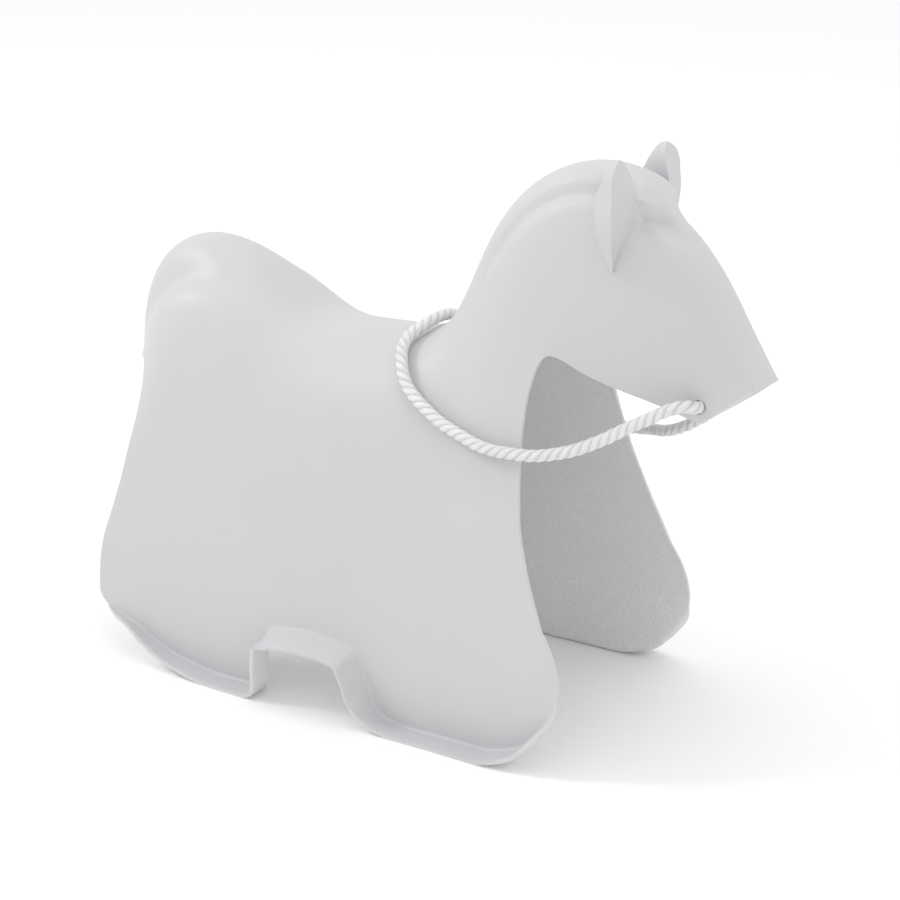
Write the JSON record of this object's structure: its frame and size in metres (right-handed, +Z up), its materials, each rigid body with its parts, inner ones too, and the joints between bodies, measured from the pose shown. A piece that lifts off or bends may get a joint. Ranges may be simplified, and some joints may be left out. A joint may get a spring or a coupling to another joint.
{
  "type": "rocking horse",
  "caption": "Child's hollow moulded plastic rocking horse with side rockers split into front and rear feet, pricked ears and a twisted-rope rein through the muzzle.",
  "frame": {"origin": "centre of the base, on the floor: middle of the length and of the width at the lowest level of the feet", "axes": "+X forwards, towards the horse's nose; +Y to the horse's left; +Z up"},
  "size_m": [0.7015, 0.327, 0.5645],
  "materials": {
    "shell": "satin",
    "rope": "matte",
    "whipping": "matte"
  },
  "bodies": {
    "shell": {"body_shell": "shell", "left_ear": "shell", "right_ear": "shell"},
    "rein": {"rein_rope": "rope", "left_knot": "rope", "right_knot": "rope", "left_whipping": "whipping", "right_whipping": "whipping"}
  },
  "joints": [
    {"name": "rein_swing", "type": "hinge", "parent": "shell", "child": "rein", "pos_m": [0.296, 0, 0.347], "axis": [0, 1, 0], "range_deg": [0, 40]}
  ]
}
